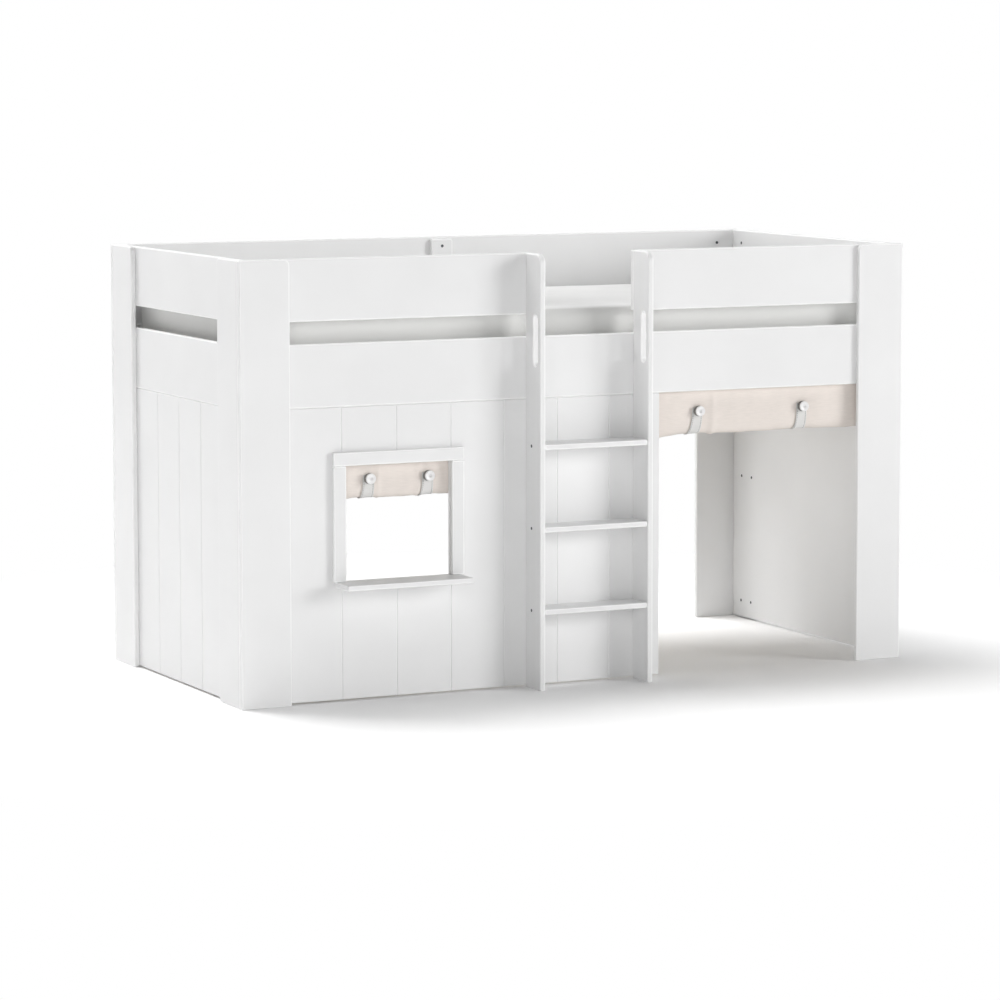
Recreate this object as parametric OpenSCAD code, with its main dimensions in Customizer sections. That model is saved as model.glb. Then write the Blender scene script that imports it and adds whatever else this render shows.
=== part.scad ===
// Cabin bed with a playhouse front, in white lacquered board.
// Origin on the floor under the middle of the whole bed, +X along its length,
// -Y towards the ladder side, +Z up. All sizes in millimetres.

/* [Mattress] */
// Length of the mattress
mattress_l = 1990; // [1800:10:2190]
// Width of the mattress
mattress_w = 890; // [790:10:1190]
// Thickness of the mattress
mattress_t = 160; // [110:5:190]
// Gap on each side between the mattress and the boards round it
mattress_gap = 19; // [17:1:30]
// Corner radius of the mattress in plan
mattress_corner_r = 45; // [20:1:90]
// Radius of the mattress's soft top and bottom edges
mattress_edge_r = 30; // [10:1:45]
// Rise of the mattress towards its middle
mattress_crown = 5; // [0:1:12]

/* [Boards] */
// Thickness of the posts, guards, rails, ladder and sill
board_t = 16; // [14:1:22]
// Thickness of the grooved panels
panel_t = 10; // [8:1:14]
// Radius of the boards' rounded corners
corner_r = 16; // [6:1:30]

/* [Posts] */
// Height of the posts
post_h = 1225; // [1150:5:1500]
// Width of each of the two boards that make a post
post_w = 148; // [120:1:200]

/* [Side boards] */
// Height of the guard boards
guard_h = 172; // [120:1:220]
// Height of the slot between guard and rail
slot_h = 62; // [40:1:90]
// Height of the rails that carry the slats
rail_h = 175; // [150:1:220]
// Width of the upright strut on the back boards
strut_w = 70; // [50:1:100]
// How far the strut's top lies below the guard's
strut_drop = 7; // [2:1:20]

/* [Panels] */
// Gap between the panels and the floor
panel_floor_gap = 6; // [3:1:20]
// Gap between an end panel's side edges and the long boards
panel_side_gap = 14; // [5:1:30]
// How far the front panel runs past the ladder
panel_past_ladder = 69; // [40:1:150]
// Spacing of the grooves
groove_pitch = 165.5; // [100:0.5:250]
// Width of a groove
groove_w = 5; // [3:0.5:8]
// Depth of a groove
groove_d = 2.4; // [1:0.2:4]

/* [Ladder] */
// Clear width between the ladder's stiles
ladder_clear = 324; // [280:1:400]
// Depth of a stile in front of the rail
stile_d = 94; // [80:1:140]
// Radius of a stile's top front corner
stile_r = 28; // [10:1:45]
// Number of treads
tread_n = 3; // [2:1:3]
// Height of the lowest tread's top
tread_z = 230; // [180:1:260]
// Rise from tread to tread
tread_rise = 232; // [200:1:250]
// How far the treads' fronts lie behind the stiles' fronts
tread_setback = 3; // [1:0.5:10]
// Width of the hand slot in a stile
hand_slot_w = 25; // [22:1:32]
// Length of the hand slot
hand_slot_l = 143; // [100:1:180]
// Distance from the stile's front edge to the hand slot's middle line
hand_slot_in = 33; // [26:1:45]
// Distance from the stile's top to the hand slot
hand_slot_drop = 170; // [120:1:220]

/* [Window] */
// Width of the window's opening
window_w = 320; // [240:1:380]
// Height of the window's opening
window_h = 320; // [240:1:340]
// Height of the sill's top above the floor
sill_z = 334; // [280:1:400]
// Width of the window frame's members
frame_w = 38; // [25:1:50]
// Distance from the post to the window frame
window_from_post = 127; // [60:1:180]
// Depth of the sill in front of the panel
sill_d = 94; // [60:1:120]
// How much narrower the sill is than the frame, at each end
sill_inset = 8; // [0:1:15]

/* [Slats] */
// Number of slats
slat_n = 14; // [10:1:18]
// Width of a slat
slat_w = 68; // [50:1:80]
// Thickness of a slat
slat_t = 18; // [14:1:22]
// How far the slats' tops lie below the rail's top
slat_drop = 81; // [60:1:90]
// Gap between a slat's ends and the rails
slat_end_gap = 6; // [2:1:12]
// Width of the battens that carry the slats
batten_w = 30; // [20:1:45]
// Height of the battens
batten_h = 40; // [25:1:45]
// Width of the webbing that spaces the slats
webbing_w = 25; // [15:1:40]
// Thickness of the webbing
webbing_t = 1.5; // [1:0.5:3]

/* [Curtains] */
// Height of the rolled doorway curtain below the rail
den_roll_h = 126; // [90:1:160]
// Depth of the rolled doorway curtain
den_roll_d = 50; // [35:1:65]
// Height of the rolled window curtain below the window's head
window_roll_h = 94; // [70:1:130]
// Depth of the rolled window curtain
window_roll_d = 38; // [25:1:50]
// How far a curtain runs past its opening at each side
curtain_lap = 25; // [10:1:30]
// Height of the hook-and-loop tape that holds a curtain
tape_h = 22; // [15:1:25]
// Thickness of that tape
tape_t = 2; // [1:0.5:3]
// Width of the straps round the rolled curtains
strap_w = 40; // [20:1:50]
// Thickness of the straps
strap_t = 1.6; // [1:0.2:3]
// Distance from the panel's edge to the doorway curtain's left strap
den_strap_left = 136; // [80:1:200]
// Distance from the post to the doorway curtain's right strap
den_strap_right = 171; // [80:1:200]
// Distance from the window's left side to its left strap
window_strap_left = 79; // [50:1:110]
// Distance from the window's right side to its right strap
window_strap_right = 62; // [40:1:90]
// Diameter of the curtain buttons
button_d = 30; // [18:1:36]
// How far a button stands out from its strap
button_out = 15; // [8:1:20]

/* [Fasteners] */
// Diameter of a screw's shank
screw_d = 5; // [4:0.5:6]
// Diameter of a screw's head
screw_head_d = 9; // [7:0.5:11]
// Height of a screw's head
screw_head_h = 3; // [2:0.5:4]
// Depth of a screw's hexagon socket
screw_socket = 1.6; // [1:0.2:2.5]
// How far a screw goes into the far board's face
screw_bite = 11; // [8:1:12]
// How far a screw goes into a board's edge
screw_edge_bite = 34; // [20:1:45]
// Diameter of a dowel
dowel_d = 8; // [6:1:10]
// Length of a dowel
dowel_l = 30; // [24:1:40]
// How far a dowel goes into a board's face
dowel_face = 10; // [6:1:12]

/* [Hidden] */
$fn = 40;

// Colours
lacquer = "#f4f4f3";
cover = "#f3f3f1";
pine = "#dcc39a";
cotton = "#e5d6c8";
grey_web = "#b9b7b8";
zinc = "#9b9da0";
beech = "#cfa878";
plastic = "#f2f1f3";
eps = 0.01;

// Outline of the bed body, without the ladder
inner_l = mattress_l + 2 * mattress_gap;
inner_w = mattress_w + 2 * mattress_gap;
bed_l = inner_l + 4 * board_t;
bed_w = inner_w + 4 * board_t;
// The ladder and the sill stand out at the front, so the body lies back by half of that
stand_out = max(stile_d, sill_d) - board_t;
body_y = stand_out / 2;

// Planes across the bed, measured from the body's middle
x_out = bed_l / 2;
x_rail_end = x_out - board_t;
x_in = x_rail_end - board_t;
x_panel_in = x_rail_end - panel_t;
x_post = x_out - post_w;
y_out = bed_w / 2;
y_rail = y_out - board_t;
y_in = y_rail - board_t;
y_panel_in = y_rail - panel_t;
y_post = y_rail - post_w;
y_stile = -y_rail - stile_d;

// Levels
rail_top = post_h - guard_h - slot_h;
rail_z = rail_top - rail_h;
guard_z = post_h - guard_h;
slat_top = rail_top - slat_drop;
batten_top = slat_top - slat_t;
batten_z = batten_top - batten_h;
soft_gap = 0.3;
mattress_z = slat_top + soft_gap;
strut_top = post_h - strut_drop;
strut_z = slat_top + 2;

// Ladder and doorway
x_stile_in = ladder_clear / 2;
x_stile_mid = x_stile_in + board_t / 2;
x_stile_out = x_stile_in + board_t;
panel_right = x_stile_out + panel_past_ladder;
tread_names = ["tread_low", "tread_middle", "tread_high"];

// Window
window_l = -x_post + window_from_post + frame_w;
window_r = window_l + window_w;
window_mid = (window_l + window_r) / 2;
window_top = sill_z + window_h;
frame_l = window_l - frame_w;
frame_r = window_r + frame_w;
frame_top = window_top + frame_w;
y_frame = -y_rail - board_t;

// The strut takes room at the back: where the gap is narrow, the mattress lies a little forward
strut_clear = 3;
mattress_y = -max(0, board_t + strut_clear - mattress_gap);

// A plate in 2D with its own radius at each corner: bottom left, then anticlockwise
module plate(w, h, r = [0, 0, 0, 0]) {
    difference() {
        square([w, h]);
        for (i = [0:3]) if (r[i] > 0) plate_corner(w, h, i, r[i]);
    }
}

module plate_corner(w, h, i, r) {
    right = i == 1 || i == 2;
    top = i > 1;
    cx = right ? w - r : r;
    cy = top ? h - r : r;
    translate([right ? cx : -eps, top ? cy : -eps])
        difference() {
            square([r + eps, r + eps]);
            translate([right ? 0 : r + eps, top ? 0 : r + eps]) circle(r = r);
        }
}

// A board that faces the front, from y to y + t
module front_board(x0, x1, z0, z1, y, t, r = [0, 0, 0, 0])
    translate([x0, y + t, z0]) rotate([90, 0, 0]) linear_extrude(t) plate(x1 - x0, z1 - z0, r);

// A board that faces the ends, from x to x + t
module side_board(y0, y1, z0, z1, x, t, r = [0, 0, 0, 0])
    translate([x, y0, z0]) rotate([90, 0, 90]) linear_extrude(t) plate(y1 - y0, z1 - z0, r);

// A level board, from z to z + t
module level_board(x0, x1, y0, y1, z, t, r = [0, 0, 0, 0])
    translate([x0, y0, z]) linear_extrude(t) plate(x1 - x0, y1 - y0, r);

// Everything is drawn about the body's middle and moved back as one
module placed(tone) color(tone) translate([0, body_y, 0]) children();

// Fasteners lie along +Z from their head's face, and turn to their direction
module aim(dir) {
    if (dir == "+x") rotate([0, 90, 0]) children();
    if (dir == "-x") rotate([0, -90, 0]) children();
    if (dir == "+y") rotate([-90, 0, 0]) children();
    if (dir == "-y") rotate([90, 0, 0]) children();
    if (dir == "-z") rotate([180, 0, 0]) children();
}

bore_gap = 0.1;

// One screw: [place of the head's face, direction, length]
module screw(s) translate(s[0]) aim(s[1]) {
    difference() {
        union() {
            cylinder(d = screw_head_d, h = screw_head_h, $fn = 24);
            cylinder(d = screw_d, h = s[2], $fn = 20);
        }
        translate([0, 0, -eps]) cylinder(d = screw_d * 0.8, h = screw_socket + eps, $fn = 6);
    }
}

module screw_bore(s) translate(s[0]) aim(s[1]) {
    translate([0, 0, -1]) cylinder(d = screw_head_d + 4 * bore_gap, h = screw_head_h + 1, $fn = 24);
    cylinder(d = screw_d + 2 * bore_gap, h = s[2] + 2 * bore_gap, $fn = 20);
}

module screws(list) for (s = list) screw(s);
module screw_bores(list) for (s = list) screw_bore(s);

// One dowel: [place of its end, direction]
module dowel(p) translate(p[0]) aim(p[1]) cylinder(d = dowel_d, h = dowel_l, $fn = 20);
module dowel_bore(p) translate(p[0]) aim(p[1])
    translate([0, 0, -2 * bore_gap])
        cylinder(d = dowel_d + 2 * bore_gap, h = dowel_l + 4 * bore_gap, $fn = 20);
module dowels(list) for (p = list) dowel(p);
module dowel_bores(list) for (p = list) dowel_bore(p);

// Heights of the fixing rows
panel_rows = [panel_floor_gap + 51, rail_z * 0.554, rail_z - 46];
rail_rows = [rail_z + 20, rail_top - 24];
guard_rows = [guard_z + 40, post_h - 40];
// Distances of the two screws in a row from the inside of the post's outer board
fix_near = 72;
fix_far = 134;

// Screws through the end panels into the posts
end_panel_list = [for (sx = [-1, 1], sy = [-1, 1], z = panel_rows, d = [fix_near, fix_far])
    [[sx * x_panel_in, sy * (y_rail - d), z], sx > 0 ? "+x" : "-x", panel_t + screw_bite]];

// Screws through the end rails and end guards into the posts
end_board_list = [for (sx = [-1, 1], sy = [-1, 1], z = concat(rail_rows, guard_rows))
    [[sx * x_in, sy * (y_rail - fix_near), z], sx > 0 ? "+x" : "-x", board_t + screw_bite]];

// Screws through the long boards and the front panel into the posts
side_panel_list = [for (z = panel_rows)
    [[-(x_rail_end - fix_near), -y_panel_in, z], "-y", panel_t + screw_bite]];
side_rail_list = [for (sx = [-1, 1], sy = [-1, 1], z = rail_rows)
    [[sx * (x_rail_end - fix_near), sy * y_in, z], sy > 0 ? "+y" : "-y", board_t + screw_bite]];
side_guard_list = [for (sx = [-1, 1], sy = [-1, 1], z = guard_rows)
    [[sx * (x_rail_end - fix_near), sy * y_in, z], sy > 0 ? "+y" : "-y", board_t + screw_bite]];

// Screws from inside into the back edges of the stiles
stile_guard_list = [for (sx = [-1, 1], z = guard_rows)
    [[sx * x_stile_mid, -y_in, z], "-y", board_t + screw_edge_bite]];
stile_rail_list = [for (sx = [-1, 1], z = rail_rows)
    [[sx * x_stile_mid, -y_in, z], "-y", board_t + screw_edge_bite]];
stile_panel_rows = [for (i = [0:tread_n - 1]) tread_mid(i) - tread_rise * 0.45];
stile_panel_list = [for (sx = [-1, 1], z = stile_panel_rows)
    [[sx * x_stile_mid, -y_panel_in, z], "-y", panel_t + screw_edge_bite]];

// Screws and dowels through the stiles into the treads' ends
function tread_mid(i) = tread_z + i * tread_rise - board_t / 2;
tread_screw_y = -y_rail - stile_d * 0.4;
tread_dowel_y = [-y_rail - stile_d * 0.17, -y_rail - stile_d * 0.77];
tread_screw_list = [for (sx = [-1, 1], i = [0:tread_n - 1])
    [[sx * x_stile_out, tread_screw_y, tread_mid(i)], sx > 0 ? "-x" : "+x", board_t + screw_edge_bite]];
tread_dowel_list = [for (sx = [-1, 1], i = [0:tread_n - 1], y = tread_dowel_y)
    [[sx * (x_stile_in + dowel_face), y, tread_mid(i)], sx > 0 ? "-x" : "+x"]];

// Screws through the strut into the back boards
strut_list = [for (z = [strut_z + 18, rail_top - 18, guard_z + 30, strut_top - 21])
    [[0, y_in - board_t, z], "+y", board_t + screw_bite]];

// Screws through the battens into the rails
batten_n = 6;
batten_end = 150;
batten_pitch = (inner_l - 2 * batten_end) / (batten_n - 1);
batten_list = [for (sy = [-1, 1], i = [0:batten_n - 1])
    [[(i - (batten_n - 1) / 2) * batten_pitch, sy * (y_in - batten_w), batten_z + batten_h / 2],
        sy > 0 ? "+y" : "-y", batten_w + screw_bite]];

// Screws from inside through the panel into the window frame and the sill
window_frame_list = concat(
    [for (x = [window_l + 40, window_r - 40]) [[x, -y_panel_in, window_top + frame_w / 2], "-y", panel_t + screw_bite]],
    [for (x = [window_l, window_r], z = [sill_z + 60, window_top - 60])
        [[x + sign(x - window_mid) * frame_w / 2, -y_panel_in, z],
            "-y", panel_t + screw_bite]]);
window_sill_list = [for (f = [-1, -0.4, 0.4, 1])
    [[window_mid + f * window_w * 0.4, -y_panel_in, sill_z - board_t / 2],
        "-y", panel_t + screw_edge_bite]];

// Screws that hold the first and last slats to the battens
slat_pitch = (inner_l - slat_w - 12) / (slat_n - 1);
function slat_x(i) = (i - (slat_n - 1) / 2) * slat_pitch;
slat_list = [for (i = [0, slat_n - 1], sy = [-1, 1])
    [[slat_x(i), sy * (y_in - batten_w / 2), slat_top], "-z", slat_t + screw_bite]];

// Dowels between the two boards of each post
post_dowel_rows = [for (f = [0.06, 0.35, 0.65, 0.94]) post_h * f];
post_dowel_list = [for (sx = [-1, 1], sy = [-1, 1], z = post_dowel_rows)
    [[sx * (x_out - board_t / 2), sy * (y_rail + dowel_face), z], sy > 0 ? "-y" : "+y"]];

// Posts: a face board in front of or behind a side board's edge
module post_face(sx, sy) placed(lacquer) difference() {
    inner = sx > 0 ? [0, 0, 0, corner_r] : [0, 0, corner_r, 0];
    front_board(sx > 0 ? x_post : -x_out, sx > 0 ? x_out : -x_post, 0, post_h,
        sy > 0 ? y_rail : -y_out, board_t, inner);
    dowel_bores(post_dowel_list);
    screw_bores(concat(side_rail_list, side_guard_list, side_panel_list));
}

module post_side(sx, sy) placed(lacquer) difference() {
    inner = sy > 0 ? [0, 0, 0, corner_r] : [0, 0, corner_r, 0];
    side_board(sy > 0 ? y_post : -y_rail, sy > 0 ? y_rail : -y_post, 0, post_h,
        sx > 0 ? x_rail_end : -x_out, board_t, inner);
    dowel_bores(post_dowel_list);
    screw_bores(concat(end_panel_list, end_board_list));
}

// Guards: the front one stops at the ladder, so that there is a way in
module front_guard(sx) placed(lacquer) difference() {
    front_board(sx > 0 ? x_stile_in : -x_rail_end, sx > 0 ? x_rail_end : -x_stile_in,
        guard_z, post_h, -y_rail, board_t);
    screw_bores(concat(side_guard_list, stile_guard_list));
}

module back_guard() placed(lacquer) difference() {
    front_board(-x_rail_end, x_rail_end, guard_z, post_h, y_in, board_t);
    screw_bores(concat(side_guard_list, strut_list));
}

module end_guard(sx) placed(lacquer) difference() {
    side_board(-y_in, y_in, guard_z, post_h, sx > 0 ? x_in : -x_rail_end, board_t);
    screw_bores(end_board_list);
}

// Rails that carry the slats
module front_rail() placed(lacquer) difference() {
    front_board(-x_rail_end, x_rail_end, rail_z, rail_top, -y_rail, board_t);
    screw_bores(concat(side_rail_list, stile_rail_list, batten_list));
}

module back_rail() placed(lacquer) difference() {
    front_board(-x_rail_end, x_rail_end, rail_z, rail_top, y_in, board_t);
    screw_bores(concat(side_rail_list, strut_list, batten_list));
}

module end_rail(sx) placed(lacquer) difference() {
    side_board(-y_in, y_in, rail_z, rail_top, sx > 0 ? x_in : -x_rail_end, board_t);
    screw_bores(end_board_list);
}

module back_strut() placed(lacquer) difference() {
    r = corner_r / 2;
    front_board(-strut_w / 2, strut_w / 2, strut_z, strut_top, y_in - board_t, board_t, [r, r, r, r]);
    screw_bores(strut_list);
}

// A vertical groove cut into a panel's outer face
module groove(h) linear_extrude(h)
    polygon([[-groove_w / 2, -eps], [0, groove_d], [groove_w / 2, -eps]]);

// The joint line under a rail: the panel's top edge is eased
module top_ease(l) rotate([90, 0, 90]) linear_extrude(l)
    polygon([[-eps, eps], [-eps, -groove_w / 2], [groove_d, eps]]);

module front_panel() placed(lacquer) difference() {
    panel_w = panel_right + x_rail_end;
    front_board(-x_rail_end, panel_right, panel_floor_gap, rail_z, -y_rail, panel_t);
    for (i = [0:ceil(panel_w / groove_pitch)]) {
        gx = panel_right - groove_pitch * (i + 1) + groove_w;
        if (gx > -x_rail_end + groove_w)
            translate([gx, -y_rail, panel_floor_gap - eps]) groove(rail_z);
    }
    translate([-x_rail_end - eps, -y_rail, rail_z]) top_ease(panel_w + 2 * eps);
    translate([window_l, -y_rail - 1, sill_z]) cube([window_w, panel_t + 2, window_h]);
    screw_bores(concat(side_panel_list, stile_panel_list, window_frame_list, window_sill_list));
}

module end_panel(sx) placed(lacquer) difference() {
    panel_w = 2 * (y_in - panel_side_gap);
    side_board(-panel_w / 2, panel_w / 2, panel_floor_gap, rail_z,
        sx > 0 ? x_panel_in : -x_rail_end, panel_t);
    for (i = [-1, 0, 1])
        translate([sx * x_rail_end, i * groove_pitch, panel_floor_gap - eps])
            rotate([0, 0, sx > 0 ? 90 : -90]) groove(rail_z);
    translate([sx * x_rail_end, -sx * (panel_w / 2 + eps), rail_z])
        rotate([0, 0, sx > 0 ? 90 : -90]) top_ease(panel_w + 2 * eps);
    screw_bores(end_panel_list);
}

// Ladder
module ladder_stile(sx) placed(lacquer) difference() {
    x0 = sx > 0 ? x_stile_in : -x_stile_out;
    side_board(y_stile, -y_rail, 0, post_h, x0, board_t, [0, 0, 0, stile_r]);
    slot_top = post_h - hand_slot_drop;
    slot_r = hand_slot_w / 2;
    translate([x0 - 1, y_stile + hand_slot_in, slot_top - slot_r])
        rotate([0, 90, 0]) cylinder(r = slot_r, h = board_t + 2);
    translate([x0 - 1, y_stile + hand_slot_in, slot_top - hand_slot_l + slot_r])
        rotate([0, 90, 0]) cylinder(r = slot_r, h = board_t + 2);
    translate([x0 - 1, y_stile + hand_slot_in - slot_r, slot_top - hand_slot_l + slot_r])
        cube([board_t + 2, hand_slot_w, hand_slot_l - 2 * slot_r]);
    screw_bores(concat(stile_guard_list, stile_rail_list, stile_panel_list, tread_screw_list));
    dowel_bores(tread_dowel_list);
}

module tread(i) placed(lacquer) difference() {
    level_board(-x_stile_in, x_stile_in, y_stile + tread_setback, -y_rail,
        tread_z + i * tread_rise - board_t, board_t);
    screw_bores(tread_screw_list);
    dowel_bores(tread_dowel_list);
}

// Window frame and sill, fixed to the panel's outer face
module window_header() placed(lacquer) difference() {
    front_board(frame_l, frame_r, window_top, frame_top, y_frame, board_t);
    screw_bores(window_frame_list);
}

module window_jamb(sx) placed(lacquer) difference() {
    x0 = sx > 0 ? window_r : frame_l;
    front_board(x0, x0 + frame_w, sill_z, window_top, y_frame, board_t);
    screw_bores(window_frame_list);
}

module window_sill() placed(lacquer) difference() {
    level_board(frame_l + sill_inset, frame_r - sill_inset, -y_rail - sill_d, -y_rail,
        sill_z - board_t, board_t, [3, 3, 0, 0]);
    screw_bores(window_sill_list);
}

// Slatted base
module slat_batten(sy) placed(pine) difference() {
    front_board(-inner_l / 2, inner_l / 2, batten_z, batten_top,
        sy > 0 ? y_in - batten_w : -y_in, batten_w);
    screw_bores(concat(batten_list, slat_list));
}

module slats() placed(pine) difference() {
    half = y_in - slat_end_gap;
    for (i = [0:slat_n - 1])
        level_board(slat_x(i) - slat_w / 2, slat_x(i) + slat_w / 2, -half, half,
            batten_top, slat_t, [4, 4, 4, 4]);
    screw_bores(slat_list);
}

module slat_webbing() placed(grey_web)
    for (y = [-inner_w / 3, inner_w / 3])
        level_board(slat_x(0) - slat_w / 2, slat_x(slat_n - 1) + slat_w / 2,
            y - webbing_w / 2, y + webbing_w / 2, batten_top - webbing_t, webbing_t);

// Mattress: rings of a rounded rectangle, drawn in at the edges and crowned on top
corner_steps = 6;
ring_n = 4 * (corner_steps + 1);
function mattress_ring(inset, z) = [for (c = [0:3], k = [0:corner_steps])
    let (r = max(mattress_corner_r - inset, 4),
        a = 90 * (c + k / corner_steps),
        sx = c == 0 || c == 3 ? 1 : -1,
        sy = c < 2 ? 1 : -1)
    [sx * (mattress_l / 2 - inset - r) + r * cos(a),
        mattress_y + sy * (mattress_w / 2 - inset - r) + r * sin(a), z]];
edge_steps = 5;
function edge_inset(k) = mattress_edge_r * (1 - cos(90 * k / edge_steps));
function edge_rise(k) = mattress_edge_r * sin(90 * k / edge_steps);
mattress_top = mattress_z + mattress_t;
crown_insets = [70, 150, 260, 380];
mattress_low_z = mattress_z + mattress_edge_r;
mattress_high_z = mattress_top - mattress_crown - mattress_edge_r;
function crown_z(inset) = mattress_top - mattress_crown
    + mattress_crown * sin(90 * min(1, (inset - mattress_edge_r) / (380 - mattress_edge_r)));
mattress_rings = concat(
    [for (k = [edge_steps:-1:0]) mattress_ring(edge_inset(k), mattress_low_z - edge_rise(k))],
    [for (k = [0:edge_steps]) mattress_ring(edge_inset(k), mattress_high_z + edge_rise(k))],
    [for (d = crown_insets) mattress_ring(d, crown_z(d))]);

// A closed body through rings of equal length, capped by fans
function flat(list) = [for (a = list, b = a) b];
function middle(ring) = [for (i = [0:2]) [for (p = ring) p[i]] * [for (p = ring) 1 / len(ring)]];

module ring_body(rings) {
    n = len(rings[0]);
    m = len(rings);
    points = concat(flat(rings), [middle(rings[0]), middle(rings[m - 1])]);
    sides = [for (j = [0:m - 2], i = [0:n - 1], t = [0, 1])
        let (a = j * n + i, b = j * n + (i + 1) % n, c = b + n, d = a + n)
        t == 0 ? [a, c, b] : [a, d, c]];
    low = [for (i = [0:n - 1]) [n * m, i, (i + 1) % n]];
    high = [for (i = [0:n - 1]) [n * m + 1, (m - 1) * n + (i + 1) % n, (m - 1) * n + i]];
    polyhedron(points, concat(sides, low, high));
}

module mattress() placed(cover) ring_body(mattress_rings);

// Rolled curtains. A section is two rows of points, front and back, from the head down.
roll_power = 2.6;
section_n = 14;
sheet_t = 4;
function roll_width(s) = pow(max(0, 1 - pow(abs(s), roll_power)), 1 / roll_power);

// Where each pair of points lies in the roll, from -1 at its top to 1 at its bottom
function roll_s(k) = -cos(180 * (k - 1) / (section_n - 1));

// Half the roll's depth at share s of the way from its middle to its bottom
function roll_front(s, d) = d / 2 * roll_width(s);

// The lower edge: it droops at its left end and rises to each strap
function den_drop(x) = 15 * pow(max(0, 1 - (x - den_l) / 110), 1.6)
    + 3 * (1 - cos(360 * (x - den_strap_x[0]) / (den_strap_x[1] - den_strap_x[0]))) / 2;
function window_drop(x) = 4 * pow(max(0, 1 - (x - curtain_l) / 60), 1.4)
    + 3 * (1 - cos(360 * (x - window_strap_x[0]) / (window_strap_x[1] - window_strap_x[0]))) / 2;

// [front y, head z, roll's top z, roll's bottom z, roll depth]
den_l = panel_right - curtain_lap;
den_r = x_post + curtain_lap;
den_front = -y_in + tape_t + soft_gap;
den_head = rail_z + tape_h + 4;
den_strap_x = [panel_right + den_strap_left, x_post - den_strap_right];
den_top = rail_z - 6;
den_bottom = rail_z - den_roll_h;

curtain_l = window_l - curtain_lap;
curtain_r = window_r + curtain_lap;
window_front = -y_panel_in + tape_t + soft_gap;
window_head = window_top + tape_h + 8;
window_strap_x = [window_l + window_strap_left, window_r - window_strap_right];
window_roll_top = window_top + 2;
window_bottom = window_top - window_roll_h;

// One curtain section at x, as a closed loop: front row down, back row up
function curtain_loop(x, front, head, top, bottom, d) =
    let (down = [for (k = [1:section_n])
            let (s = roll_s(k), z = (top + bottom) / 2 + s * (bottom - top) / 2,
                w = max(roll_front(s, d), k < section_n / 2 ? sheet_t / 2 : 0.6),
                mid = k < section_n / 2 ? front + w : front + d / 2)
            [mid - w, mid + w, z]])
    concat([[x, front, head]], [for (p = down) [x, p[0], p[2]]],
        [for (k = [section_n - 1:-1:0]) [x, down[k][1], down[k][2]]],
        [[x, front + sheet_t, head]]);

curtain_steps = 36;
function den_ring(x) = curtain_loop(x, den_front, den_head, den_top, den_bottom - den_drop(x), den_roll_d);
function window_ring(x) = curtain_loop(x, window_front, window_head, window_roll_top,
    window_bottom - window_drop(x), window_roll_d);

// A body through loops made of paired rows, capped by strips between the rows
module strip_body(rings) {
    n = len(rings[0]);
    m = len(rings);
    sides = [for (j = [0:m - 2], i = [0:n - 1], t = [0, 1])
        let (a = j * n + i, b = j * n + (i + 1) % n, c = b + n, d = a + n)
        t == 0 ? [a, b, c] : [a, c, d]];
    caps = [for (k = [0:n / 2 - 2], t = [0, 1])
        let (a = k, b = k + 1, c = n - 2 - k, d = n - 1 - k)
        t == 0 ? [a, c, b] : [a, d, c]];
    far = [for (f = caps) [f[0] + (m - 1) * n, f[2] + (m - 1) * n, f[1] + (m - 1) * n]];
    polyhedron(flat(rings), concat(sides, caps, far));
}

module den_curtain() placed(cotton)
    strip_body([for (i = [0:curtain_steps]) den_ring(den_l + (den_r - den_l) * i / curtain_steps)]);

module window_curtain() placed(cotton)
    strip_body([for (i = [0:curtain_steps])
        window_ring(curtain_l + (curtain_r - curtain_l) * i / curtain_steps)]);

// Tape that holds each curtain's head to the board in front of it
module den_curtain_tape() placed(grey_web)
    front_board(den_l, den_r, rail_z + 2, rail_z + 2 + tape_h, -y_in, tape_t);

module window_curtain_tape() placed(grey_web)
    front_board(curtain_l, curtain_r, window_top + 6, window_top + 6 + tape_h, -y_panel_in, tape_t);

// A strap follows the curtain's section from its button, under the roll and up the back
strap_gap = 0.7;
function outward(loop, i) =
    let (a = loop[i - 1], b = loop[i + 1], d = [b[1] - a[1], b[2] - a[2]])
    [d[1], -d[0]] / norm(d);
function strap_rings(loop, first, slant) = [for (i = [first:len(loop) - 2])
    let (q = outward(loop, i),
        near = [loop[i][1], loop[i][2]] + q * strap_gap,
        far = near + q * strap_t,
        x = loop[i][0] - slant * (loop[first][2] - loop[i][2]))
    [[x - strap_w / 2, near[0], near[1]], [x - strap_w / 2, far[0], far[1]],
        [x + strap_w / 2, far[0], far[1]], [x + strap_w / 2, near[0], near[1]]]];

button_row = 6;
den_slants = [0.14, 0.04];
window_slants = [0.06, 0.04];

module den_curtain_straps() placed(grey_web)
    for (i = [0, 1]) ring_body(strap_rings(den_ring(den_strap_x[i]), button_row, den_slants[i]));

module window_curtain_straps() placed(grey_web)
    for (i = [0, 1])
        ring_body(strap_rings(window_ring(window_strap_x[i]), button_row, window_slants[i]));

// A turned button with a neck behind it and a dimple in front
module button() {
    neck = button_out - 6;
    difference() {
        union() {
            cylinder(d = button_d * 0.45, h = neck + 1);
            translate([0, 0, neck]) cylinder(d = button_d, h = 6);
        }
        translate([0, 0, button_out - 2]) cylinder(d = button_d * 0.22, h = 3, $fn = 20);
    }
}

module buttons(xs, loops)
    for (i = [0, 1]) {
        p = loops[i][button_row + 1];
        translate([xs[i], p[1] - strap_gap - strap_t - 0.2, p[2]]) aim("-y") button();
    }

module den_curtain_buttons() placed(plastic)
    buttons(den_strap_x, [for (x = den_strap_x) den_ring(x)]);

module window_curtain_buttons() placed(plastic)
    buttons(window_strap_x, [for (x = window_strap_x) window_ring(x)]);

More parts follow.
